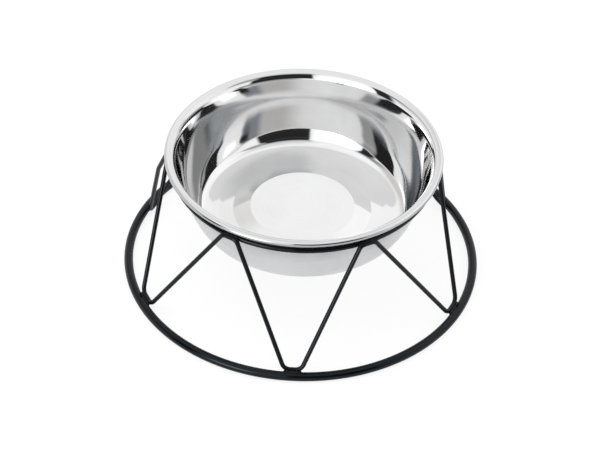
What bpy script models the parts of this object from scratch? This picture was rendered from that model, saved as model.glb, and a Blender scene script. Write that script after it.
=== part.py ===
"""Dog food bowl on a wire stand.

A one-piece stainless steel bowl with a rolled rim hangs in the top ring of a
black wire stand. One long wire, bent into a zigzag, joins the top ring to a
wider and thicker base ring. Metres, +Z up, origin at the centre of the base
ring on the floor. Angles are counted from the front (-Y) towards +X.
"""

import math

import bmesh
import bpy
from mathutils import Matrix, Vector

# Base ring
BASE_RING_DIAMETER = 0.240
BASE_WIRE = 0.0061

# Top ring, which the bowl hangs in
TOP_WIRE = 0.0040
TOP_RING_HEIGHT = 0.0832
SEAT_DEPTH = 0.0099
SEAT_CLEARANCE = 0.0003

# Zigzag wire between the rings
LEG_WIRE = 0.0030
WELD_CLEARANCE = 0.0003
FOOT_ANGLES = (-1.5, 64.1, 121.0, 184.0, 247.0, 296.1)
HEAD_ANGLES = (28.1, 86.0, 152.0, 215.5, 267.9, 329.6)
FOOT_LENGTHS = (0.0110, 0.0134, 0.0110, 0.0110, 0.0110, 0.0140)
HEAD_LENGTH = 0.0100
FOOT_BEND = 0.0055
HEAD_BEND = 0.0045
FOOT_LIFT_ANGLE = math.radians(22.0)
HEAD_LIFT_ANGLE = math.radians(22.0)
BOWED_LEG = 4
BOW_OUT = 0.0030
BOW_AT = 0.69
BOW_BEND = 0.0150

# Bowl's rim
RIM_DIAMETER = 0.1826
SHEET = 0.0008
BEAD_RADIUS = 0.0016
BEAD_RISE = 0.0005
BEAD_START = math.radians(120.0)
BEAD_END = math.radians(-130.0)
LIP_BEND = 0.0015
FLARE_ANGLE = math.radians(41.3)
FLARE_BEND = 0.0096

# Bowl's wall, with angles from the vertical
WALL_ANGLE = math.radians(12.9)
WALL_TOP_RADIUS = 0.0849
STRAIGHT_WALL_DEPTH = 0.0175
WALL_FOOT_ANGLE = math.radians(22.4)
WALL_FOOT_BEND = 0.0488
CORNER_EXIT_ANGLE = math.radians(34.2)
CORNER_BEND = 0.0082

# Bowl's floor, with a raised disc inside a flat land
FLOOR_DEPTH = 0.0494
DISC_RADIUS = 0.0345
DISC_RISE = 0.0028
DISC_DISH = 0.0004
CONE_RADIUS = 0.0460
CONE_FOOT = 0.00045
LAND_RADIUS = 0.0550
EASE_RADIUS = 0.0599
EASE_BEND = 0.0500
EASE_TURN = math.radians(5.0)

# Facets
ROUND_STEPS = 72
BASE_WIRE_SIDES = 12
TOP_WIRE_SIDES = 8
BEND_STEPS = 4
WALL_STEPS = 5
SHORT_STEPS = 2
LIP_STEPS = 3
BEAD_STEPS = 7

STEEL = ("stainless_steel", (0.80, 0.80, 0.79, 1.0), 1.0, 0.12)
BLACK = ("black_powder_coat", (0.018, 0.020, 0.023, 1.0), 0.0, 0.38)


def clear_scene():
    """Remove every object that the scene holds."""
    for item in list(bpy.data.objects):
        bpy.data.objects.remove(item, do_unlink=True)


def make_material(finish):
    """Return a Principled material from a finish tuple."""
    name, colour, metallic, roughness = finish
    material = bpy.data.materials.new(name)
    material.use_nodes = True
    shader = material.node_tree.nodes["Principled BSDF"]
    shader.inputs["Base Color"].default_value = colour
    shader.inputs["Metallic"].default_value = metallic
    shader.inputs["Roughness"].default_value = roughness
    return material


def add_object(name, data, finish, location=(0.0, 0.0, 0.0)):
    """Link an object to the scene with its material and place."""
    item = bpy.data.objects.new(name, data)
    bpy.context.scene.collection.objects.link(item)
    item.location = location
    data.materials.append(make_material(finish))
    return item


def polar(radius, degrees, height):
    """Return the point at a radius and an angle from the front."""
    angle = math.radians(degrees)
    return Vector((radius * math.sin(angle), -radius * math.cos(angle), height))


def arc(centre, radius, start, end, steps):
    """Return the (radius, height) points of an arc in a section."""
    points = []
    for step in range(steps + 1):
        angle = start + (end - start) * step / steps
        points.append((centre[0] + radius * math.cos(angle), centre[1] + radius * math.sin(angle)))
    return points


def turned_mesh(name, section, closed):
    """Spin a section of (radius, height) points once round the Z axis."""
    mesh = bpy.data.meshes.new(name)
    bm = bmesh.new()
    verts = [bm.verts.new((radius, 0.0, height)) for radius, height in section]
    pairs = list(zip(verts, verts[1:]))
    if closed:
        pairs.append((verts[-1], verts[0]))
    edges = [bm.edges.new(pair) for pair in pairs]
    half_step = Matrix.Rotation(math.pi / ROUND_STEPS, 3, "Z")
    bmesh.ops.rotate(bm, cent=(0.0, 0.0, 0.0), matrix=half_step, verts=verts)
    bmesh.ops.spin(bm, geom=verts + edges, cent=(0.0, 0.0, 0.0), axis=(0.0, 0.0, 1.0),
                   angle=2.0 * math.pi, steps=ROUND_STEPS, use_merge=True)
    bmesh.ops.remove_doubles(bm, verts=bm.verts, dist=1e-6)
    bmesh.ops.recalc_face_normals(bm, faces=bm.faces)
    bm.to_mesh(mesh)
    bm.free()
    mesh.shade_smooth()
    mesh.set_sharp_from_angle(angle=math.radians(50.0))
    return mesh


def wire_section(radius, wire, sides):
    """Return the closed section of a ring's wire, with a flat facet below."""
    first = math.pi / sides - math.pi / 2.0
    loop = arc((radius, 0.0), wire / 2.0, first, first + 2.0 * math.pi, sides)
    return loop[:-1]


def base_wire_height():
    """Return the height of the base wire's centre with its flat on the floor."""
    return BASE_WIRE / 2.0 * math.cos(math.pi / BASE_WIRE_SIDES)


def base_ring_radius():
    """Return the radius of the base wire's centre line."""
    return (BASE_RING_DIAMETER - BASE_WIRE) / 2.0


def lip_depth():
    """Return how far the lip's middle line lies below the top of the rim."""
    return BEAD_RISE + SHEET / 2.0


def wall_radius(depth):
    """Return the outer radius of the bowl's straight wall below the rim."""
    outside = SHEET / 2.0 / math.cos(WALL_ANGLE)
    return WALL_TOP_RADIUS + outside - (depth - lip_depth()) * math.tan(WALL_ANGLE)


def top_ring_radius():
    """Return the radius of the top wire's centre line, which the wall rests in."""
    reach = TOP_WIRE / 2.0 + SEAT_CLEARANCE
    return wall_radius(SEAT_DEPTH) + reach / math.cos(WALL_ANGLE)


def build_base_ring():
    """Build the thick ring that stands on the floor."""
    section = wire_section(base_ring_radius(), BASE_WIRE, BASE_WIRE_SIDES)
    mesh = turned_mesh("base_ring", section, closed=True)
    return add_object("base_ring", mesh, BLACK, (0.0, 0.0, base_wire_height()))


def build_top_ring():
    """Build the ring that carries the bowl."""
    section = wire_section(top_ring_radius(), TOP_WIRE, TOP_WIRE_SIDES)
    mesh = turned_mesh("top_ring", section, closed=True)
    return add_object("top_ring", mesh, BLACK, (0.0, 0.0, TOP_RING_HEIGHT))


def foot_place():
    """Return the radius and height of the zigzag's low bends."""
    reach = (BASE_WIRE + LEG_WIRE) / 2.0 + WELD_CLEARANCE
    radius = base_ring_radius() - reach * math.cos(FOOT_LIFT_ANGLE)
    height = base_wire_height() + reach * math.sin(FOOT_LIFT_ANGLE)
    return radius, height


def head_place():
    """Return the radius and height of the zigzag's high bends."""
    reach = (TOP_WIRE + LEG_WIRE) / 2.0 + WELD_CLEARANCE
    radius = top_ring_radius() + reach * math.cos(HEAD_LIFT_ANGLE)
    height = TOP_RING_HEIGHT + reach * math.sin(HEAD_LIFT_ANGLE)
    return radius, height


def bend_corners(degrees, place, length, outside):
    """Return the two corners of a bend that lies along its ring."""
    radius, height = place
    half = math.atan(length / 2.0 / radius)
    corner_radius = radius / math.cos(half) if outside else radius
    turn = math.degrees(half)
    return [polar(corner_radius, degrees + side * turn, height) for side in (-1.0, 1.0)]


def bow_corner(low, high):
    """Return the point where one leg is bowed outwards."""
    point = low.lerp(high, BOW_AT)
    outwards = Vector((point.x, point.y, 0.0)).normalized()
    return point + outwards * BOW_OUT


def zigzag_corners():
    """Return the corners of the zigzag wire with their bend radii."""
    corners = []
    for index, (foot, head) in enumerate(zip(FOOT_ANGLES, HEAD_ANGLES)):
        low = bend_corners(foot, foot_place(), FOOT_LENGTHS[index], outside=False)
        high = bend_corners(head, head_place(), HEAD_LENGTH, outside=True)
        corners += [(point, FOOT_BEND) for point in low]
        if index == BOWED_LEG:
            corners.append((bow_corner(low[1], high[0]), BOW_BEND))
        corners += [(point, HEAD_BEND) for point in high]
    return corners


def round_corner(before, corner, after, radius):
    """Return the points of an arc that rounds one corner of a wire."""
    back = (before - corner).normalized()
    ahead = (after - corner).normalized()
    half = back.angle(ahead) / 2.0
    centre = corner + (back + ahead).normalized() * radius / math.sin(half)
    reach = radius / math.tan(half)
    start = corner + back * reach - centre
    end = corner + ahead * reach - centre
    return [centre + start.slerp(end, step / BEND_STEPS) * radius for step in range(BEND_STEPS + 1)]


def build_zigzag():
    """Build the one long wire that runs up and down between the rings."""
    corners = zigzag_corners()
    points = []
    for index, (corner, radius) in enumerate(corners):
        before = corners[index - 1][0]
        after = corners[(index + 1) % len(corners)][0]
        points += round_corner(before, corner, after, radius)
    curve = bpy.data.curves.new("zigzag_wire", "CURVE")
    curve.dimensions = "3D"
    curve.bevel_depth = LEG_WIRE / 2.0
    curve.bevel_resolution = 2
    spline = curve.splines.new("POLY")
    spline.points.add(len(points) - 1)
    for place, point in zip(spline.points, points):
        place.co = (*point, 1.0)
    spline.use_cyclic_u = True
    return add_object("zigzag_wire", curve, BLACK)


def along(angle):
    """Return the unit vector of a section at an angle from the outward axis."""
    return Vector((math.cos(angle), math.sin(angle)))


def bezier(first, second, third, last, steps):
    """Return the points of a smooth curve after its first point."""
    points = []
    for step in range(1, steps + 1):
        t = step / steps
        s = 1.0 - t
        points.append(first * s**3 + second * 3.0 * s * s * t + third * 3.0 * s * t * t + last * t**3)
    return points


def floor_line():
    """Return the middle line of the floor: the dished disc, its cone and the land."""
    level = SHEET / 2.0 - FLOOR_DEPTH
    top = level + DISC_RISE
    return [
        (0.0, top - DISC_DISH),
        (DISC_RADIUS, top),
        (CONE_RADIUS, level + CONE_FOOT),
        (LAND_RADIUS, level),
    ]


def corner_line():
    """Return the middle line of the bend between the floor and the wall."""
    down = -math.pi / 2.0
    ease_centre = Vector((EASE_RADIUS, SHEET / 2.0 - FLOOR_DEPTH + EASE_BEND))
    ease = arc(ease_centre, EASE_BEND, down, down + EASE_TURN, SHORT_STEPS)
    centre = ease_centre + along(down + EASE_TURN) * (EASE_BEND - CORNER_BEND)
    return ease + arc(centre, CORNER_BEND, down + EASE_TURN, -CORNER_EXIT_ANGLE, BEND_STEPS)[1:]


def wall_line(start):
    """Return the middle line of the wall, which steepens as it rises and ends straight."""
    foot_centre = Vector(start) - along(-CORNER_EXIT_ANGLE) * WALL_FOOT_BEND
    foot = arc(foot_centre, WALL_FOOT_BEND, -CORNER_EXIT_ANGLE, -WALL_FOOT_ANGLE, SHORT_STEPS)
    low = Vector(foot[-1])
    run = (STRAIGHT_WALL_DEPTH - lip_depth()) * math.tan(WALL_ANGLE)
    end = Vector((WALL_TOP_RADIUS - run, -STRAIGHT_WALL_DEPTH))
    third = (end - low).length / 3.0
    leaving = low + along(math.pi / 2.0 - WALL_FOOT_ANGLE) * third
    arriving = end - along(math.pi / 2.0 - WALL_ANGLE) * third
    return foot[1:] + [tuple(point) for point in bezier(low, leaving, arriving, end, WALL_STEPS)]


def rim_line():
    """Return the middle line of the wall's flare, the lip and the rim's curl."""
    lip_rise = LIP_BEND * (1.0 - math.sin(FLARE_ANGLE))
    rise = lip_rise + FLARE_BEND * (math.sin(FLARE_ANGLE) - math.sin(WALL_ANGLE))
    start = Vector((WALL_TOP_RADIUS - rise * math.tan(WALL_ANGLE), -lip_depth() - rise))
    flare_centre = start + along(-WALL_ANGLE) * FLARE_BEND
    flare = arc(flare_centre, FLARE_BEND, math.pi - WALL_ANGLE, math.pi - FLARE_ANGLE, LIP_STEPS)
    lip_centre = Vector(flare[-1]) + along(-FLARE_ANGLE) * LIP_BEND
    lip = arc(lip_centre, LIP_BEND, math.pi - FLARE_ANGLE, math.pi / 2.0, LIP_STEPS)
    bead_centre = (RIM_DIAMETER / 2.0 - BEAD_RADIUS, -BEAD_RADIUS)
    bead = arc(bead_centre, BEAD_RADIUS - SHEET / 2.0, BEAD_START, BEAD_END, BEAD_STEPS)
    return flare + lip[1:] + bead


def bowl_line():
    """Return the middle line of the whole sheet, from the axis to the rim's curl."""
    corner = corner_line()
    return floor_line() + corner + wall_line(corner[-1]) + rim_line()


def offset_line(line, distance):
    """Return a line moved sideways by a distance, to its left when positive."""
    points = []
    for index, here in enumerate(line):
        before = Vector(line[max(index - 1, 0)])
        after = Vector(line[min(index + 1, len(line) - 1)])
        into = (Vector(here) - before).normalized()
        out = (after - Vector(here)).normalized()
        course = (into + out).normalized()
        bend = max(course.dot(out if out.length else into), 0.5)
        side = Vector((-course.y, course.x)) * distance / bend
        points.append((here[0] + side.x, here[1] + side.y))
    points[0] = (0.0, points[0][1])
    return points


def build_bowl():
    """Build the bowl, pressed from one sheet of steel."""
    line = bowl_line()
    inside = offset_line(line, SHEET / 2.0)
    outside = offset_line(line, -SHEET / 2.0)
    section = outside + list(reversed(inside))
    mesh = turned_mesh("bowl", section, closed=False)
    return add_object("bowl", mesh, STEEL, (0.0, 0.0, TOP_RING_HEIGHT + SEAT_DEPTH))


def main():
    """Build the stand and the bowl."""
    clear_scene()
    build_base_ring()
    build_top_ring()
    build_zigzag()
    build_bowl()


if __name__ == "__main__":
    main()
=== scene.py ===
"""Dress the dog bowl and its wire stand for a studio picture.

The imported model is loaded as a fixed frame. Each wire and the steel sheet is
rebuilt round and smooth on top of its solid, the spot welds are added, and
every piece gets a procedural finish. Metres, +Z up, front towards -Y.
"""

import logging
import math
from dataclasses import dataclass
from enum import Enum
from typing import Container, Iterable, Mapping, Sequence, Union

import bpy
from mathutils import Matrix, Vector

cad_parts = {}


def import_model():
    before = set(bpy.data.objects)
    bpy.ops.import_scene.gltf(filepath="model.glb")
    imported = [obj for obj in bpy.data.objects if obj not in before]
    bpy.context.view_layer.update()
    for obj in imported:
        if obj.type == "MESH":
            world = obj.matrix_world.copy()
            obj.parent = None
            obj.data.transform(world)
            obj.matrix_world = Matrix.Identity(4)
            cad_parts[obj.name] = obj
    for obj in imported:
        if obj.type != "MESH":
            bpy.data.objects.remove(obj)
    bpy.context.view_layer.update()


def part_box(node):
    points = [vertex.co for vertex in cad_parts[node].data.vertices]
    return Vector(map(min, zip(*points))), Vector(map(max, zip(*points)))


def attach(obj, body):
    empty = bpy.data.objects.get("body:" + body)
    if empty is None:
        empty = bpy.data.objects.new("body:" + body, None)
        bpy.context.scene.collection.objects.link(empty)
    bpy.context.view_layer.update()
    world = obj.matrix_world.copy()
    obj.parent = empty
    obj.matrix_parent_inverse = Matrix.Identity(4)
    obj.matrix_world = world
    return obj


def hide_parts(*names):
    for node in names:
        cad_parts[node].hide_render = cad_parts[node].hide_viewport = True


LOG = logging.getLogger("bowl_scene")
Colour = tuple[float, float, float, float]
Number = Union[float, "Signal"]

# Nearly every value of a noise lies in this range.
NOISE_RANGE = (0.35, 0.65)
# Edges that bend more than this stay sharp.
SMOOTH_ANGLE = math.radians(40.0)


class Body(str, Enum):
    """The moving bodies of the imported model."""

    STAND = "stand"
    BOWL = "bowl"


class Slot(str, Enum):
    """The material slots."""

    STAND_BLACK = "stand_black"
    BOWL_STEEL = "bowl_steel"


class Signal:
    """A shader socket that plain Python arithmetic works on."""

    def __init__(self, graph: "Graph", socket: bpy.types.NodeSocket) -> None:
        """Wrap one output socket.

        Args:
            graph: The node graph that the socket belongs to.
            socket: The output socket.
        """
        self.graph = graph
        self.socket = socket

    def math(self, operation: str, other: Number) -> "Signal":
        """Run one Math node on this signal and another value.

        Args:
            operation: The node's operation.
            other: The second value.

        Returns:
            The node's result.
        """
        return self.graph.node("ShaderNodeMath", {"operation": operation}, {0: self, 1: other})

    def __add__(self, other: Number) -> "Signal":
        """Return self + other."""
        return self.math("ADD", other)

    def __mul__(self, other: Number) -> "Signal":
        """Return self * other."""
        return self.math("MULTIPLY", other)

    def __pow__(self, other: Number) -> "Signal":
        """Return self ** other."""
        return self.math("POWER", other)

    def __neg__(self) -> "Signal":
        """Return -self."""
        return self.math("MULTIPLY", -1.0)


class Graph:
    """The node graph of one material or world."""

    def __init__(self, owner: Union[bpy.types.Material, bpy.types.World]) -> None:
        """Start an empty graph.

        Args:
            owner: The material or world whose nodes are replaced.
        """
        owner.use_nodes = True
        self.tree = owner.node_tree
        self.tree.nodes.clear()

    def node(
        self,
        kind: str,
        settings: Mapping[str, object] | None = None,
        sockets: Mapping[Union[int, str], object] | None = None,
        out: Union[int, str] = 0,
    ) -> Signal:
        """Add a node, set it up and connect it.

        Args:
            kind: The node's type.
            settings: Properties of the node.
            sockets: Values or signals for its inputs, by name or number.
            out: The output to hand back.

        Returns:
            The chosen output.
        """
        made = self.tree.nodes.new(kind)
        for name, value in (settings or {}).items():
            setattr(made, name, value)
        for name, value in (sockets or {}).items():
            if isinstance(value, Signal):
                self.tree.links.new(value.socket, made.inputs[name])
            else:
                made.inputs[name].default_value = value
        return Signal(self, made.outputs[out])

    def place(self) -> Signal:
        """Return the Object coordinates."""
        return self.node("ShaderNodeTexCoord", out="Object")

    def axes(self, vector: Signal) -> tuple[Signal, Signal, Signal]:
        """Split a vector into X, Y and Z.

        Args:
            vector: The vector to split.

        Returns:
            Its three parts.
        """
        first = self.node("ShaderNodeSeparateXYZ", sockets={0: vector})
        outputs = first.socket.node.outputs
        return first, Signal(self, outputs[1]), Signal(self, outputs[2])

    def join(self, x: Number, y: Number, z: Number) -> Signal:
        """Return the vector made of three parts."""
        return self.node("ShaderNodeCombineXYZ", sockets={0: x, 1: y, 2: z})

    def noise(self, vector: Signal, scale: float, detail: float = 2.0, rough: float = 0.5) -> Signal:
        """Return a noise value between 0 and 1.

        Args:
            vector: Where the noise is read.
            scale: Waves to the metre.
            detail: The number of finer layers.
            rough: How strong the finer layers are.

        Returns:
            The noise value.
        """
        values = {"Vector": vector, "Scale": scale, "Detail": detail, "Roughness": rough}
        return self.node("ShaderNodeTexNoise", sockets=values)

    def remap(
        self, value: Signal, low: float, high: float, start: float = 0.0, end: float = 1.0
    ) -> Signal:
        """Map a value smoothly from one range to another.

        Args:
            value: The value to map.
            low: Where the range starts.
            high: Where the range ends.
            start: The result at low and below.
            end: The result at high and above.

        Returns:
            The mapped value.
        """
        sockets = {"Value": value, "From Min": low, "From Max": high, "To Min": start, "To Max": end}
        return self.node("ShaderNodeMapRange", {"interpolation_type": "SMOOTHSTEP"}, sockets)

    def blend(self, share: Number, first: object, second: object) -> Signal:
        """Mix two colours.

        Args:
            share: How much of the second colour shows.
            first: A colour or a signal.
            second: A colour or a signal.

        Returns:
            The mixed colour.
        """
        return self.node("ShaderNodeMix", {"data_type": "RGBA"}, {0: share, 6: first, 7: second}, out=2)

    def bump(self, height: Signal, depth: float, strength: float) -> Signal:
        """Return a normal bent by a height.

        Args:
            height: The height, between 0 and 1.
            depth: The height of 1 in metres.
            strength: How much of it shows.

        Returns:
            The bent normal.
        """
        values = {"Height": height, "Distance": depth, "Strength": strength}
        return self.node("ShaderNodeBump", sockets=values)

    def finish(self, shader: Signal, kind: str = "ShaderNodeOutputMaterial") -> None:
        """Connect a shader to the output.

        Args:
            shader: The shader's output.
            kind: The type of output node.
        """
        output = self.tree.nodes.new(kind)
        self.tree.links.new(shader.socket, output.inputs["Surface"])


@dataclass(frozen=True)
class PowderCoat:
    """Semi-gloss black powder coat with a fine orange peel, matt where it is seen at a slant."""

    name: str = "black_powder_coat"
    deep: Colour = (0.0016, 0.0024, 0.0034, 1.0)
    light: Colour = (0.0045, 0.0062, 0.0084, 1.0)
    gloss: float = 0.06
    dull: float = 0.12
    peel_size: float = 0.0011
    peel_depth: float = 0.000035
    peel_strength: float = 0.3
    patch_size: float = 0.012
    refraction: float = 1.52
    shine: float = 0.20
    shine_tint: Colour = (0.88, 0.95, 1.0, 1.0)
    edge_range: tuple[float, float] = (0.55, 0.95)
    edge_dullness: float = 0.9
    edge_roughness: float = 0.7

    def material(self) -> bpy.types.Material:
        """Return the finish as a material."""
        made = bpy.data.materials.new(self.name)
        graph = Graph(made)
        place = graph.place()
        peel = graph.noise(place, 1.0 / self.peel_size, 3.0, 0.6)
        patch = graph.noise(place, 1.0 / self.patch_size, 4.0, 0.6)
        speck = graph.noise(place, 4.0 / self.peel_size)
        tone = graph.remap(patch * 0.7 + speck * 0.3, *NOISE_RANGE)
        colour = graph.blend(tone, self.deep, self.light)
        glossy = {
            "Base Color": colour,
            "Roughness": graph.remap(patch * 0.6 + peel * 0.4, *NOISE_RANGE, self.gloss, self.dull),
            "Normal": graph.bump(peel, self.peel_depth, self.peel_strength),
            "Specular IOR Level": self.shine,
            "Specular Tint": self.shine_tint,
            "IOR": self.refraction,
        }
        matt = {"Base Color": colour, "Roughness": self.edge_roughness, "Specular IOR Level": 0.0}
        face = graph.node("ShaderNodeBsdfPrincipled", sockets=glossy)
        edge = graph.node("ShaderNodeBsdfPrincipled", sockets=matt)
        slant = graph.node("ShaderNodeLayerWeight", sockets={"Blend": 0.5}, out="Facing")
        share = graph.remap(slant, *self.edge_range, 0.0, self.edge_dullness)
        graph.finish(graph.node("ShaderNodeMixShader", sockets={0: share, 1: face, 2: edge}))
        return made


@dataclass(frozen=True)
class TurnedSteel:
    """Stainless steel with the fine rings that polishing on a spindle leaves, and painted shade on the rim:
    its top is painted darker and its outer edge is painted as a dark line.
    """

    name: str
    clean: Colour
    hazy: Colour
    gloss: float
    dull: float
    ring_pitch: float
    ring_depth: float
    ring_strength: float
    ring_drift: float = 0.0004
    haze_size: float = 0.030
    # Painted shade: above this height the top of the rim is painted a darker grey.
    rim_shade_height: float = 0.0903
    rim_shade_fade: float = 0.0010
    # Painted shade: past this radius the outer edge of the curled rim is painted as a dark line.
    edge_shade_reach: float = 0.0903
    edge_shade_fade: float = 0.0009
    rim_painted_shade: Colour = (0.650, 0.650, 0.655, 1.0)
    edge_painted_shade: Colour = (0.420, 0.422, 0.430, 1.0)

    def material(self) -> bpy.types.Material:
        """Return the finish as a material."""
        made = bpy.data.materials.new(self.name)
        graph = Graph(made)
        place = graph.place()
        x, y, z = graph.axes(place)
        reach = (x * x + y * y) ** 0.5
        around = graph.join(reach, z, y.math("ARCTAN2", x) * self.ring_drift)
        rings = graph.noise(around, 1.0 / self.ring_pitch, 3.0, 0.7)
        haze = graph.noise(place, 1.0 / self.haze_size, 4.0, 0.55)
        marks = graph.noise(place, 9.0 / self.haze_size)
        dullness = rings * 0.45 + haze * 0.35 + marks * 0.20
        sheet = graph.blend(graph.remap(haze * 0.6 + rings * 0.4, *NOISE_RANGE), self.clean, self.hazy)
        # Painted shade: the top of the rim is painted a darker grey.
        painted_rim_shade = graph.remap(z, self.rim_shade_height, self.rim_shade_height + self.rim_shade_fade)
        # Painted shade: a dark line is painted round the outer edge of the curled rim.
        edge = graph.remap(reach, self.edge_shade_reach, self.edge_shade_reach + self.edge_shade_fade)
        colour = graph.blend(edge, graph.blend(painted_rim_shade, sheet, self.rim_painted_shade), self.edge_painted_shade)
        values = {
            "Base Color": colour,
            "Metallic": 1.0,
            "Roughness": graph.remap(dullness, *NOISE_RANGE, self.gloss, self.dull),
            "Normal": graph.bump(rings, self.ring_depth, self.ring_strength),
        }
        graph.finish(graph.node("ShaderNodeBsdfPrincipled", sockets=values))
        return made


POLISHED = TurnedSteel(
    name="polished_steel",
    clean=(0.745, 0.745, 0.747, 1.0),
    hazy=(0.705, 0.705, 0.707, 1.0),
    gloss=0.030,
    dull=0.065,
    ring_pitch=0.00045,
    ring_depth=0.0000012,
    ring_strength=0.12,
)
SATIN = TurnedSteel(
    name="satin_steel",
    clean=(0.655, 0.657, 0.665, 1.0),
    hazy=(0.600, 0.602, 0.610, 1.0),
    gloss=0.28,
    dull=0.38,
    ring_pitch=0.00060,
    ring_depth=0.0000030,
    ring_strength=0.25,
)


class Bench:
    """The modelling moves that every piece uses."""

    @staticmethod
    def clear_selection() -> None:
        """Leave edit mode and deselect everything."""
        if bpy.context.object is not None and bpy.context.object.mode != "OBJECT":
            bpy.ops.object.mode_set(mode="OBJECT")
        bpy.ops.object.select_all(action="DESELECT")

    @staticmethod
    def edit(piece: bpy.types.Object) -> None:
        """Open one piece in edit mode with all of it selected.

        Args:
            piece: The mesh object.
        """
        Bench.clear_selection()
        piece.select_set(True)
        bpy.context.view_layer.objects.active = piece
        bpy.ops.object.mode_set(mode="EDIT")
        bpy.ops.mesh.select_all(action="SELECT")

    @staticmethod
    def pick(piece: bpy.types.Object, wanted: Container[int]) -> None:
        """Select vertices by their numbers, from edit mode.

        Args:
            piece: The mesh object that is open in edit mode.
            wanted: The numbers of the vertices to select.
        """
        bpy.ops.mesh.select_all(action="DESELECT")
        bpy.ops.mesh.select_mode(type="VERT")
        bpy.ops.object.mode_set(mode="OBJECT")
        for vertex in piece.data.vertices:
            vertex.select = vertex.index in wanted
        bpy.ops.object.mode_set(mode="EDIT")

    @staticmethod
    def start_point(name: str, point: Vector) -> bpy.types.Object:
        """Start a line: a plane merged into one vertex.

        Args:
            name: The new piece's name.
            point: Where the line starts.

        Returns:
            The new object, in edit mode.
        """
        Bench.clear_selection()
        bpy.ops.mesh.primitive_plane_add(size=0.001, location=point)
        piece = bpy.context.object
        piece.name = name
        bpy.ops.object.transform_apply(location=True, rotation=True, scale=True)
        Bench.edit(piece)
        bpy.ops.mesh.merge(type="CENTER")
        return piece

    @staticmethod
    def draw_line(name: str, points: Sequence[Vector]) -> bpy.types.Object:
        """Draw a line of edges by extruding a vertex from point to point.

        Args:
            name: The new piece's name.
            points: The line's points.

        Returns:
            The new object, in edit mode.
        """
        piece = Bench.start_point(name, points[0])
        for here, there in zip(points, points[1:]):
            bpy.ops.mesh.extrude_vertices_move(TRANSFORM_OT_translate={"value": there - here})
        return piece

    @staticmethod
    def spin_round(steps: int) -> None:
        """Spin what is drawn once round the Z axis and close it, in edit mode.

        Args:
            steps: The number of steps in the turn.
        """
        bpy.ops.mesh.select_all(action="SELECT")
        bpy.ops.mesh.spin(steps=steps, angle=math.tau, center=(0.0, 0.0, 0.0), axis=(0.0, 0.0, 1.0))
        bpy.ops.mesh.select_all(action="SELECT")
        bpy.ops.mesh.remove_doubles(threshold=2e-6)
        bpy.ops.mesh.normals_make_consistent(inside=False)

    @staticmethod
    def complete(piece: bpy.types.Object, body: Body, slot: Slot, nodes: Iterable[str] = ()) -> None:
        """Smooth a piece and fix it to its body.

        Args:
            piece: The finished mesh object.
            body: The body that it rides on.
            slot: Not used.
            nodes: The CAD nodes that it stands for.
        """
        Bench.clear_selection()
        piece.select_set(True)
        bpy.context.view_layer.objects.active = piece
        bpy.ops.object.transform_apply(location=True, rotation=True, scale=True)
        bpy.ops.object.shade_smooth_by_angle(angle=SMOOTH_ANGLE)
        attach(piece, body.value)
        if nodes:
            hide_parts(*nodes)
        LOG.info("%s: %d faces on %s", piece.name, len(piece.data.polygons), body.value)


def polar(radius: float, degrees: float, height: float) -> Vector:
    """Return the point at a radius and an angle.

    Args:
        radius: The distance from the Z axis.
        degrees: The angle, counted from the front towards +X.
        height: The point's height.

    Returns:
        The point.
    """
    angle = math.radians(degrees)
    return Vector((radius * math.sin(angle), -radius * math.cos(angle), height))


def round_corner(before: Vector, corner: Vector, after: Vector, radius: float, steps: int) -> list[Vector]:
    """Round one corner of a line with an arc.

    Args:
        before: The point before the corner.
        corner: The corner itself.
        after: The point after the corner.
        radius: The arc's radius.
        steps: The number of steps in the arc.

    Returns:
        The points of the arc.
    """
    back = (before - corner).normalized()
    ahead = (after - corner).normalized()
    half = back.angle(ahead) / 2.0
    centre = corner + (back + ahead).normalized() * radius / math.sin(half)
    reach = radius / math.tan(half)
    start = corner + back * reach - centre
    end = corner + ahead * reach - centre
    return [centre + start.slerp(end, step / steps) * radius for step in range(steps + 1)]


@dataclass
class RoundRing:
    """A ring of round wire, lying level."""

    name: str
    node: str
    steps: int = 288
    sides: int = 28

    def build(self, finish: bpy.types.Material) -> bpy.types.Object:
        """Spin the wire's section round, inside the outline of its solid.

        Args:
            finish: The ring's material.

        Returns:
            The finished ring.
        """
        radius, height, wire = self.centre_line()
        Bench.clear_selection()
        bpy.ops.mesh.primitive_circle_add(
            vertices=self.sides,
            radius=wire,
            location=(radius, 0.0, height),
            rotation=(math.pi / 2.0, 0.0, 0.0),
        )
        ring = bpy.context.object
        ring.name = self.name
        bpy.ops.object.transform_apply(location=True, rotation=True, scale=True)
        Bench.edit(ring)
        Bench.spin_round(self.steps)
        bpy.ops.object.mode_set(mode="OBJECT")
        ring.data.materials.append(finish)
        Bench.complete(ring, Body.STAND, Slot.STAND_BLACK, [self.node])
        return ring

    def centre_line(self) -> tuple[float, float, float]:
        """Return the wire's centre radius, its height and its own radius."""
        low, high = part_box(self.node)
        wire = (high.z - low.z) / 2.0
        return high.x - wire, (low.z + high.z) / 2.0, wire


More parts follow.
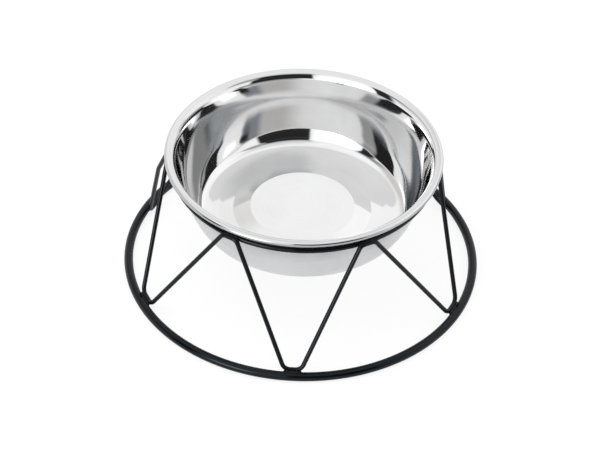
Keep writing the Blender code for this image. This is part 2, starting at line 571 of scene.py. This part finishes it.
@dataclass
class ZigzagWire:
    """One long wire that runs up and down between the rings, with its spot welds."""

    wire: float = 0.00148
    foot_radius: float = 0.112453
    foot_height: float = 0.004763
    head_radius: float = 0.089132
    head_height: float = 0.084624
    foot_angles: tuple[float, ...] = (-1.5, 64.1, 121.0, 184.0, 247.0, 296.1)
    head_angles: tuple[float, ...] = (28.1, 86.0, 152.0, 215.5, 267.9, 329.6)
    foot_lengths: tuple[float, ...] = (0.0110, 0.0134, 0.0110, 0.0110, 0.0110, 0.0140)
    head_length: float = 0.0100
    foot_bend: float = 0.0055
    head_bend: float = 0.0045
    bowed_leg: int = 4
    bow_out: float = 0.0030
    bow_at: float = 0.69
    bow_bend: float = 0.0150
    bend_steps: int = 12
    roundness: int = 8
    foot_weld: float = 0.0015
    head_weld: float = 0.0012
    weld_stretch: tuple[float, float, float] = (1.9, 1.0, 0.85)
    weld_gap: float = 0.0001
    weld_spread: float = 0.30

    def bend(self, index: int, foot: bool) -> list[Vector]:
        """Return the two corners of one bend.

        Args:
            index: The bend's number, counted from the front.
            foot: True for a low bend, False for a high one.

        Returns:
            The corners, in the order that the wire runs.
        """
        if foot:
            radius, height = self.foot_radius, self.foot_height
            degrees, length = self.foot_angles[index], self.foot_lengths[index]
        else:
            radius, height = self.head_radius, self.head_height
            degrees, length = self.head_angles[index], self.head_length
        half = math.atan(length / 2.0 / radius)
        reach = radius if foot else radius / math.cos(half)
        return [polar(reach, degrees + side * math.degrees(half), height) for side in (-1.0, 1.0)]

    def corners(self) -> list[tuple[Vector, float]]:
        """Return the wire's corners, each with its bend radius."""
        corners = []
        for index in range(len(self.foot_angles)):
            low = self.bend(index, True)
            high = self.bend(index, False)
            corners += [(point, self.foot_bend) for point in low]
            if index == self.bowed_leg:
                middle = low[1].lerp(high[0], self.bow_at)
                outwards = Vector((middle.x, middle.y, 0.0)).normalized()
                corners.append((middle + outwards * self.bow_out, self.bow_bend))
            corners += [(point, self.head_bend) for point in high]
        return corners

    def path(self) -> list[Vector]:
        """Return the wire's centre line, with its bends rounded."""
        corners = self.corners()
        points: list[Vector] = []
        for index, (corner, radius) in enumerate(corners):
            before = corners[index - 1][0]
            after = corners[(index + 1) % len(corners)][0]
            points += round_corner(before, corner, after, radius, self.bend_steps)
        return points

    def build(self, finish: bpy.types.Material) -> bpy.types.Object:
        """Draw the centre line, close it and give it the wire's round section.

        Args:
            finish: The wire's material.

        Returns:
            The finished wire.
        """
        points = self.path()
        piece = Bench.draw_line("zigzag_wire_round", points)
        Bench.pick(piece, {0, len(points) - 1})
        bpy.ops.mesh.edge_face_add()
        bpy.ops.object.mode_set(mode="OBJECT")
        bpy.ops.object.convert(target="CURVE")
        piece = bpy.context.object
        piece.data.bevel_depth = self.wire
        piece.data.bevel_resolution = self.roundness
        bpy.ops.object.convert(target="MESH")
        piece = bpy.context.object
        piece.data.materials.clear()
        piece.data.materials.append(finish)
        Bench.complete(piece, Body.STAND, Slot.STAND_BLACK, ["zigzag_wire"])
        return piece

    def weld_bead(self, size: float) -> bpy.types.Object:
        """Shape one weld bead at the origin, stretched along the wire and a little uneven.

        Args:
            size: The radius of the ball that it starts from.

        Returns:
            The bead, the model for every weld of one ring.
        """
        Bench.clear_selection()
        bpy.ops.mesh.primitive_uv_sphere_add(segments=28, ring_count=16, radius=size)
        bead = bpy.context.object
        Bench.edit(bead)
        bpy.ops.transform.resize(value=self.weld_stretch)
        bpy.ops.transform.vertex_random(offset=size * 0.10, uniform=0.2, normal=0.6, seed=7)
        bpy.ops.mesh.vertices_smooth(factor=0.6, repeat=3)
        bpy.ops.object.mode_set(mode="OBJECT")
        return bead

    def welds(self, name: str, foot: bool, ring: RoundRing, finish: bpy.types.Material) -> bpy.types.Object:
        """Lay three small weld beads in a row where each bend meets its ring.

        Args:
            name: The new piece's name.
            foot: True for the base ring's welds, False for the top ring's.
            ring: The ring that the bends are welded to.
            finish: The beads' material.

        Returns:
            The beads of one ring, as one piece.
        """
        radius, height, wire = ring.centre_line()
        if foot:
            reach = Vector((self.foot_radius - radius, self.foot_height - height))
            slope = math.atan2(reach.y, -reach.x)
            bends = list(zip(self.foot_angles, self.foot_lengths))
            model = self.weld_bead(self.foot_weld)
        else:
            reach = Vector((self.head_radius - radius, self.head_height - height))
            slope = -math.atan2(reach.y, -reach.x)
            bends = [(degrees, self.head_length) for degrees in self.head_angles]
            model = self.weld_bead(self.head_weld)
        touch = Vector((radius, height)) + reach.normalized() * (wire + self.weld_gap)
        lean = Matrix.Rotation(slope, 4, "X")
        beads = []
        for index, (degrees, length) in enumerate(bends):
            flip = Matrix.Rotation(math.pi * (index % 2), 4, "Z")
            for side in (-1.0, 0.0, 1.0):
                turn = degrees + math.degrees(side * length * self.weld_spread / touch.x)
                bead = model.copy()
                bead.data = model.data.copy()
                bpy.context.scene.collection.objects.link(bead)
                spin = Matrix.Rotation(math.radians(turn), 4, "Z")
                bead.matrix_world = Matrix.Translation(polar(touch.x, turn, touch.y)) @ spin @ lean @ flip
                beads.append(bead)
        bpy.data.objects.remove(model)
        Bench.clear_selection()
        for bead in beads:
            bead.select_set(True)
        bpy.context.view_layer.objects.active = beads[0]
        bpy.ops.object.join()
        piece = bpy.context.object
        piece.name = name
        piece.data.materials.append(finish)
        Bench.complete(piece, Body.STAND, Slot.STAND_BLACK)
        return piece


@dataclass
class SteelBowl:
    """The bowl, one sheet drawn down to a floor with a raised disc, its rim curled out."""

    sheet: float = 0.0008
    bead_radius: float = 0.0016
    bead_rise: float = 0.0005
    bead_start: float = math.radians(120.0)
    bead_end: float = math.radians(-130.0)
    lip_bend: float = 0.0015
    flare_angle: float = math.radians(41.3)
    flare_bend: float = 0.0096
    wall_angle: float = math.radians(12.9)
    wall_top_radius: float = 0.08491
    wall_bend: float = 0.1203
    wall_foot_angle: float = math.radians(22.4)
    wall_foot_bend: float = 0.0488
    corner_exit: float = math.radians(34.2)
    corner_bend: float = 0.0082
    floor_depth: float = 0.0494
    disc_radius: float = 0.0345
    disc_rise: float = 0.0028
    disc_dish: float = 0.0004
    dish_bend: float = 0.400
    disc_bend: float = 0.004
    cone_radius: float = 0.0460
    cone_foot: float = 0.00045
    cone_bend: float = 0.003
    land_radius: float = 0.0550
    land_bend: float = 0.060
    ease_radius: float = 0.0599
    ease_bend: float = 0.0500
    ease_turn: float = math.radians(5.0)
    floor_steps: int = 6
    ease_steps: int = 4
    wall_steps: tuple[int, ...] = (12, 10, 16)
    flare_steps: int = 8
    lip_steps: int = 6
    bead_steps: int = 22
    turn_steps: int = 256

    @staticmethod
    def arc(centre: Vector, radius: float, start: float, end: float, steps: int) -> list[Vector]:
        """Return the points of an arc in the section.

        Args:
            centre: The arc's centre, as radius and height.
            radius: The arc's own radius.
            start: The angle at its start.
            end: The angle at its end.
            steps: The number of steps.

        Returns:
            Its points.
        """
        turns = [start + (end - start) * step / steps for step in range(steps + 1)]
        return [centre + Vector((math.cos(turn), math.sin(turn))) * radius for turn in turns]

    def floor_line(self) -> list[Vector]:
        """Return the floor's middle line: a dished disc, a cone round it and a flat land."""
        level = self.sheet / 2.0 - self.floor_depth
        top = level + self.disc_rise
        corners = [
            (Vector((0.0, top - self.disc_dish)), 0.0),
            (Vector((self.disc_radius * 0.5, top - self.disc_dish * 0.75)), self.dish_bend),
            (Vector((self.disc_radius, top)), self.disc_bend),
            (Vector((self.cone_radius, level + self.cone_foot)), self.cone_bend),
            (Vector((self.land_radius, level)), self.land_bend),
            (Vector((self.ease_radius, level)), 0.0),
        ]
        line = [corners[0][0]]
        for (before, _), (corner, bend), (after, _) in zip(corners, corners[1:], corners[2:]):
            flat = [Vector((*point, 0.0)) for point in (before, corner, after)]
            line += [Vector(point[:2]) for point in round_corner(*flat, bend, self.floor_steps)]
        return line

    def rim_line(self) -> list[Vector]:
        """Return the middle line of the wall's flare and the lip above it."""
        depth = self.bead_rise + self.sheet / 2.0
        lip_rise = self.lip_bend * (1.0 - math.sin(self.flare_angle))
        rise = lip_rise + self.flare_bend * (math.sin(self.flare_angle) - math.sin(self.wall_angle))
        start = Vector((self.wall_top_radius - rise * math.tan(self.wall_angle), -depth - rise))
        out = Vector((math.cos(self.wall_angle), -math.sin(self.wall_angle)))
        turn = math.pi - self.wall_angle, math.pi - self.flare_angle
        flare = self.arc(start + out * self.flare_bend, self.flare_bend, *turn, self.flare_steps)
        out = Vector((math.cos(self.flare_angle), -math.sin(self.flare_angle)))
        centre = flare[-1] + out * self.lip_bend
        lip = self.arc(centre, self.lip_bend, turn[1], math.pi / 2.0, self.lip_steps)
        return flare + lip[1:]

    def wall_line(self, level: float) -> list[Vector]:
        """Return the middle line of the corner and of the wall, which steepens as it rises.

        Args:
            level: The height of the floor's land.

        Returns:
            The points, from the land's outer edge up to the straight wall below the flare.
        """
        down = -math.pi / 2.0
        turns = down + self.ease_turn, -self.corner_exit, -self.wall_foot_angle, -self.wall_angle
        bends = self.corner_bend, self.wall_foot_bend, self.wall_bend
        centre = Vector((self.ease_radius, level + self.ease_bend))
        line = self.arc(centre, self.ease_bend, down, turns[0], self.ease_steps)
        before = self.ease_bend
        for bend, start, end, steps in zip(bends, turns, turns[1:], self.wall_steps):
            centre = centre + Vector((math.cos(start), math.sin(start))) * (before - bend)
            line += self.arc(centre, bend, start, end, steps)[1:]
            before = bend
        return line

    def middle_line(self, rim_radius: float) -> list[Vector]:
        """Return the whole sheet's middle line, from the axis to the rim's curl.

        Args:
            rim_radius: The bowl's outer radius.

        Returns:
            Its points, with heights counted from the top of the rim.
        """
        half = self.sheet / 2.0
        centre = Vector((rim_radius - self.bead_radius, -self.bead_radius))
        radius = self.bead_radius - half
        bead = self.arc(centre, radius, self.bead_start, self.bead_end, self.bead_steps)
        return self.floor_line() + self.wall_line(half - self.floor_depth) + self.rim_line() + bead

    def inner_line(self, rim_radius: float) -> list[Vector]:
        """Return the line of the sheet's polished side.

        Args:
            rim_radius: The bowl's outer radius.

        Returns:
            Its points, with heights counted from the top of the rim.
        """
        middle = self.middle_line(rim_radius)
        line = []
        for index, here in enumerate(middle):
            along = middle[min(index + 1, len(middle) - 1)] - middle[max(index - 1, 0)]
            along.normalize()
            line.append(here + Vector((-along.y, along.x)) * self.sheet / 2.0)
        line[0] = Vector((0.0, line[0].y))
        return line

    def build(self, polished: bpy.types.Material, satin: bpy.types.Material) -> bpy.types.Object:
        """Spin the polished side round and give the sheet its thickness.

        Args:
            polished: The material of the inside and the rim.
            satin: The material of the outside.

        Returns:
            The finished bowl.
        """
        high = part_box("bowl")[1]
        line = [Vector((point.x, 0.0, high.z + point.y)) for point in self.inner_line(high.x)]
        bowl = Bench.draw_line("bowl_sheet", line)
        Bench.spin_round(self.turn_steps)
        bpy.ops.object.mode_set(mode="OBJECT")
        centre = min(bowl.data.polygons, key=lambda face: face.center.xy.length)
        if centre.normal.z < 0.0:
            Bench.edit(bowl)
            bpy.ops.mesh.flip_normals()
            bpy.ops.object.mode_set(mode="OBJECT")
        bowl.data.materials.append(polished)
        bowl.data.materials.append(satin)
        wall = bowl.modifiers.new("sheet", "SOLIDIFY")
        wall.thickness = self.sheet
        wall.offset = -1.0
        wall.material_offset = 1
        wall.material_offset_rim = 1
        bpy.ops.object.modifier_apply(modifier="sheet")
        Bench.complete(bowl, Body.BOWL, Slot.BOWL_STEEL, ["bowl"])
        return bowl


@dataclass(frozen=True)
class Card:
    """A card or flag that the shiny steel mirrors, as a patch of the sky round the object.

    The angles are degrees: left and right from the front towards +X, low and high
    above the horizon. Each edge has its own softness, in that same order.
    """

    name: str
    left: float
    right: float
    low: float
    high: float
    colour: Colour
    soft: tuple[float, float, float, float]

    def mask(self, graph: Graph, turn: Signal, rise: Signal) -> Signal:
        """Return 1 on the card and 0 off it.

        Args:
            graph: The graph that the mask is drawn in.
            turn: The direction's angle from the front, in degrees.
            rise: The direction's height above the horizon, in degrees.

        Returns:
            The mask.
        """
        left, right, low, high = self.soft
        inside = graph.remap(turn, self.left - left, self.left + left)
        inside = inside * graph.remap(turn, self.right - right, self.right + right, 1.0, 0.0)
        inside = inside * graph.remap(rise, self.low - low, self.low + low)
        return inside * graph.remap(rise, self.high - high, self.high + high, 1.0, 0.0)


def grey(level: float) -> Colour:
    """Return a neutral colour."""
    return (level, level, level, 1.0)


CARDS = (
    Card("right_glow", 86.0, 160.0, 16.0, 56.0, grey(1.30), (14.0, 20.0, 8.0, 6.0)),
    Card("left_glow", -125.0, -25.0, 56.0, 92.0, grey(1.25), (15.0, 25.0, 8.0, 2.0)),
    Card("overhead_shade", -10.0, 105.0, 56.0, 82.0, grey(0.96), (20.0, 20.0, 6.0, 8.0)),
    Card("back_wall", -158.0, -84.0, 22.0, 51.0, (0.78, 0.765, 0.74, 1.0), (24.0, 8.0, 8.0, 6.0)),
    Card("left_curtain", -98.0, -64.0, 29.0, 48.5, (0.34, 0.37, 0.40, 1.0), (9.0, 4.0, 5.0, 5.0)),
    Card("door_lintel", -10.0, 48.0, 44.0, 61.0, (0.60, 0.63, 0.655, 1.0), (7.0, 7.0, 3.0, 5.0)),
    Card("right_curtain", 44.0, 73.0, 33.0, 55.0, grey(0.48), (4.0, 5.0, 5.0, 6.0)),
    Card("door_sill", 6.0, 60.0, -6.0, 13.0, grey(0.38), (7.0, 5.0, 4.0, 2.0)),
    Card("far_wall_left", -190.0, -150.0, -8.0, 20.0, grey(0.92), (2.0, 15.0, 5.0, 8.0)),
    Card("far_wall_right", 150.0, 190.0, -8.0, 20.0, grey(0.92), (15.0, 2.0, 5.0, 8.0)),
    Card("white_panel", -59.5, -9.0, -3.0, 48.0, grey(1.45), (3.0, 4.0, 5.0, 4.0)),
    Card("window_glare", -50.0, -26.0, 8.0, 34.0, grey(7.00), (6.0, 8.0, 6.0, 6.0)),
    Card("dark_doorway", -5.5, 48.0, 12.0, 32.0, grey(0.025), (1.5, 2.5, 1.5, 3.0)),
    Card("dark_doorway_top", -5.5, 45.5, 30.0, 48.0, grey(0.025), (1.5, 4.5, 1.5, 3.0)),
    Card("left_flag", -78.0, -61.0, 5.0, 40.0, grey(0.03), (4.0, 1.5, 4.0, 4.0)),
    Card("right_flag", 90.0, 124.0, -6.0, 11.0, grey(0.35), (7.0, 7.0, 3.0, 4.0)),
    Card("right_patch", 118.0, 134.0, 19.0, 27.0, grey(0.42), (3.0, 3.0, 2.5, 2.5)),
)


@dataclass
class Studio:
    """The floor, the cards that the steel mirrors, the lamp and the camera."""

    floor_radius: float = 3.0
    floor_tone: float = 0.20
    floor_glow: float = 0.84
    dome_radius: float = 2.6
    dome_level: float = 1.19
    fill_level: float = 0.85
    lamp_place: tuple[float, float, float] = (-0.5, -0.3, 1.7)
    lamp_width: float = 1.2
    lamp_power: float = 6.0
    lens: float = 125.79
    sensor: float = 36.0
    clip: tuple[float, float] = (0.05, 20.0)
    distance: float = 1.41038
    elevation: float = 0.7183
    roll: float = 0.0317
    aim_height: float = 0.02854
    shift: tuple[float, float] = (-0.002837, 0.002007)

    def seen(self, graph: Graph) -> Signal:
        """Return 1 for rays from the camera, from gloss and through glass, else 0."""
        camera = graph.node("ShaderNodeLightPath", out="Is Camera Ray")
        outputs = camera.socket.node.outputs
        glossy = Signal(graph, outputs["Is Glossy Ray"])
        through = Signal(graph, outputs["Is Transmission Ray"])
        return (camera + glossy + through).math("MINIMUM", 1.0)

    def floor(self) -> None:
        """Lay the white floor, a flat disc with one ring of faces round a smaller disc."""
        Bench.clear_selection()
        bpy.ops.mesh.primitive_circle_add(vertices=96, radius=self.floor_radius, fill_type="NGON")
        floor = bpy.context.object
        floor.name = "studio_floor"
        Bench.edit(floor)
        bpy.ops.mesh.inset(thickness=self.floor_radius * 0.5)
        bpy.ops.object.mode_set(mode="OBJECT")
        made = bpy.data.materials.new("studio_floor")
        graph = Graph(made)
        seen = self.seen(graph)
        matt = graph.node("ShaderNodeBsdfDiffuse", sockets={"Color": grey(self.floor_tone)})
        strength = seen * self.floor_glow
        glow = graph.node("ShaderNodeEmission", sockets={"Color": grey(1.0), "Strength": strength})
        graph.finish(graph.node("ShaderNodeAddShader", sockets={0: matt, 1: glow}))
        floor.data.materials.append(made)

    def dome(self) -> None:
        """Hang the cards round the object, on one dome that only gloss sees."""
        Bench.clear_selection()
        bpy.ops.mesh.primitive_uv_sphere_add(segments=96, ring_count=48, radius=self.dome_radius)
        dome = bpy.context.object
        dome.name = "studio_cards"
        Bench.edit(dome)
        bpy.ops.mesh.flip_normals()
        bpy.ops.object.mode_set(mode="OBJECT")
        made = bpy.data.materials.new("studio_cards")
        graph = Graph(made)
        x, y, z = graph.axes(graph.place())
        turn = x.math("ARCTAN2", -y) * math.degrees(1.0)
        rise = z.math("ARCTAN2", (x * x + y * y) ** 0.5) * math.degrees(1.0)
        colour: object = grey(self.dome_level)
        for card in CARDS:
            colour = graph.blend(card.mask(graph, turn, rise), colour, card.colour)
        graph.finish(graph.node("ShaderNodeEmission", sockets={"Color": colour, "Strength": 1.0}))
        dome.data.materials.append(made)
        dome.visible_camera = False
        dome.visible_diffuse = False
        dome.visible_shadow = False

    def world(self) -> None:
        """Light the scene evenly, with white behind everything."""
        made = bpy.data.worlds.new("studio")
        bpy.context.scene.world = made
        graph = Graph(made)
        level = graph.blend(self.seen(graph), grey(self.fill_level), grey(1.0))
        shade = graph.node("ShaderNodeBackground", sockets={"Color": level, "Strength": 1.0})
        graph.finish(shade, "ShaderNodeOutputWorld")

    def lamp(self) -> None:
        """Hang one wide, soft lamp above and to the left."""
        data = bpy.data.lights.new("overhead_lamp", "AREA")
        data.shape = "DISK"
        data.size = self.lamp_width
        data.energy = self.lamp_power
        lamp = bpy.data.objects.new("overhead_lamp", data)
        bpy.context.scene.collection.objects.link(lamp)
        lamp.location = self.lamp_place
        lamp.rotation_euler = (-lamp.location).to_track_quat("-Z", "Y").to_euler()
        lamp.visible_glossy = False

    def camera(self) -> None:
        """Place the camera where the photograph was taken from."""
        back = Vector((0.0, -math.cos(self.elevation), math.sin(self.elevation)))
        right = Vector((1.0, 0.0, 0.0))
        up = back.cross(right)
        across = right * math.cos(self.roll) + up * math.sin(self.roll)
        upright = up * math.cos(self.roll) - right * math.sin(self.roll)
        turned = Matrix((across, upright, back)).transposed().to_4x4()
        data = bpy.data.cameras.new("camera")
        data.lens = self.lens
        data.sensor_width = self.sensor
        data.shift_x, data.shift_y = self.shift
        data.clip_start, data.clip_end = self.clip
        camera = bpy.data.objects.new("camera", data)
        bpy.context.scene.collection.objects.link(camera)
        place = back * self.distance + Vector((0.0, 0.0, self.aim_height))
        camera.matrix_world = Matrix.Translation(place) @ turned
        bpy.context.scene.camera = camera

    def build(self) -> None:
        """Set up the whole studio."""
        self.floor()
        self.dome()
        self.world()
        self.lamp()
        self.camera()
        bpy.context.scene.view_settings.view_transform = "Standard"


def main() -> None:
    """Build every piece, the studio and the camera."""
    logging.basicConfig(level=logging.INFO, format="%(message)s")
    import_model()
    coat = PowderCoat().material()
    base = RoundRing("base_ring_round", "base_ring")
    top = RoundRing("top_ring_round", "top_ring", sides=24)
    zigzag = ZigzagWire()
    pieces = [
        base.build(coat),
        top.build(coat),
        zigzag.build(coat),
        zigzag.welds("base_ring_welds", True, base, coat),
        zigzag.welds("top_ring_welds", False, top, coat),
        SteelBowl().build(POLISHED.material(), SATIN.material()),
    ]
    LOG.info("%d pieces are dressed", len(pieces))
    Studio().build()


if __name__ == "__main__":
    main()
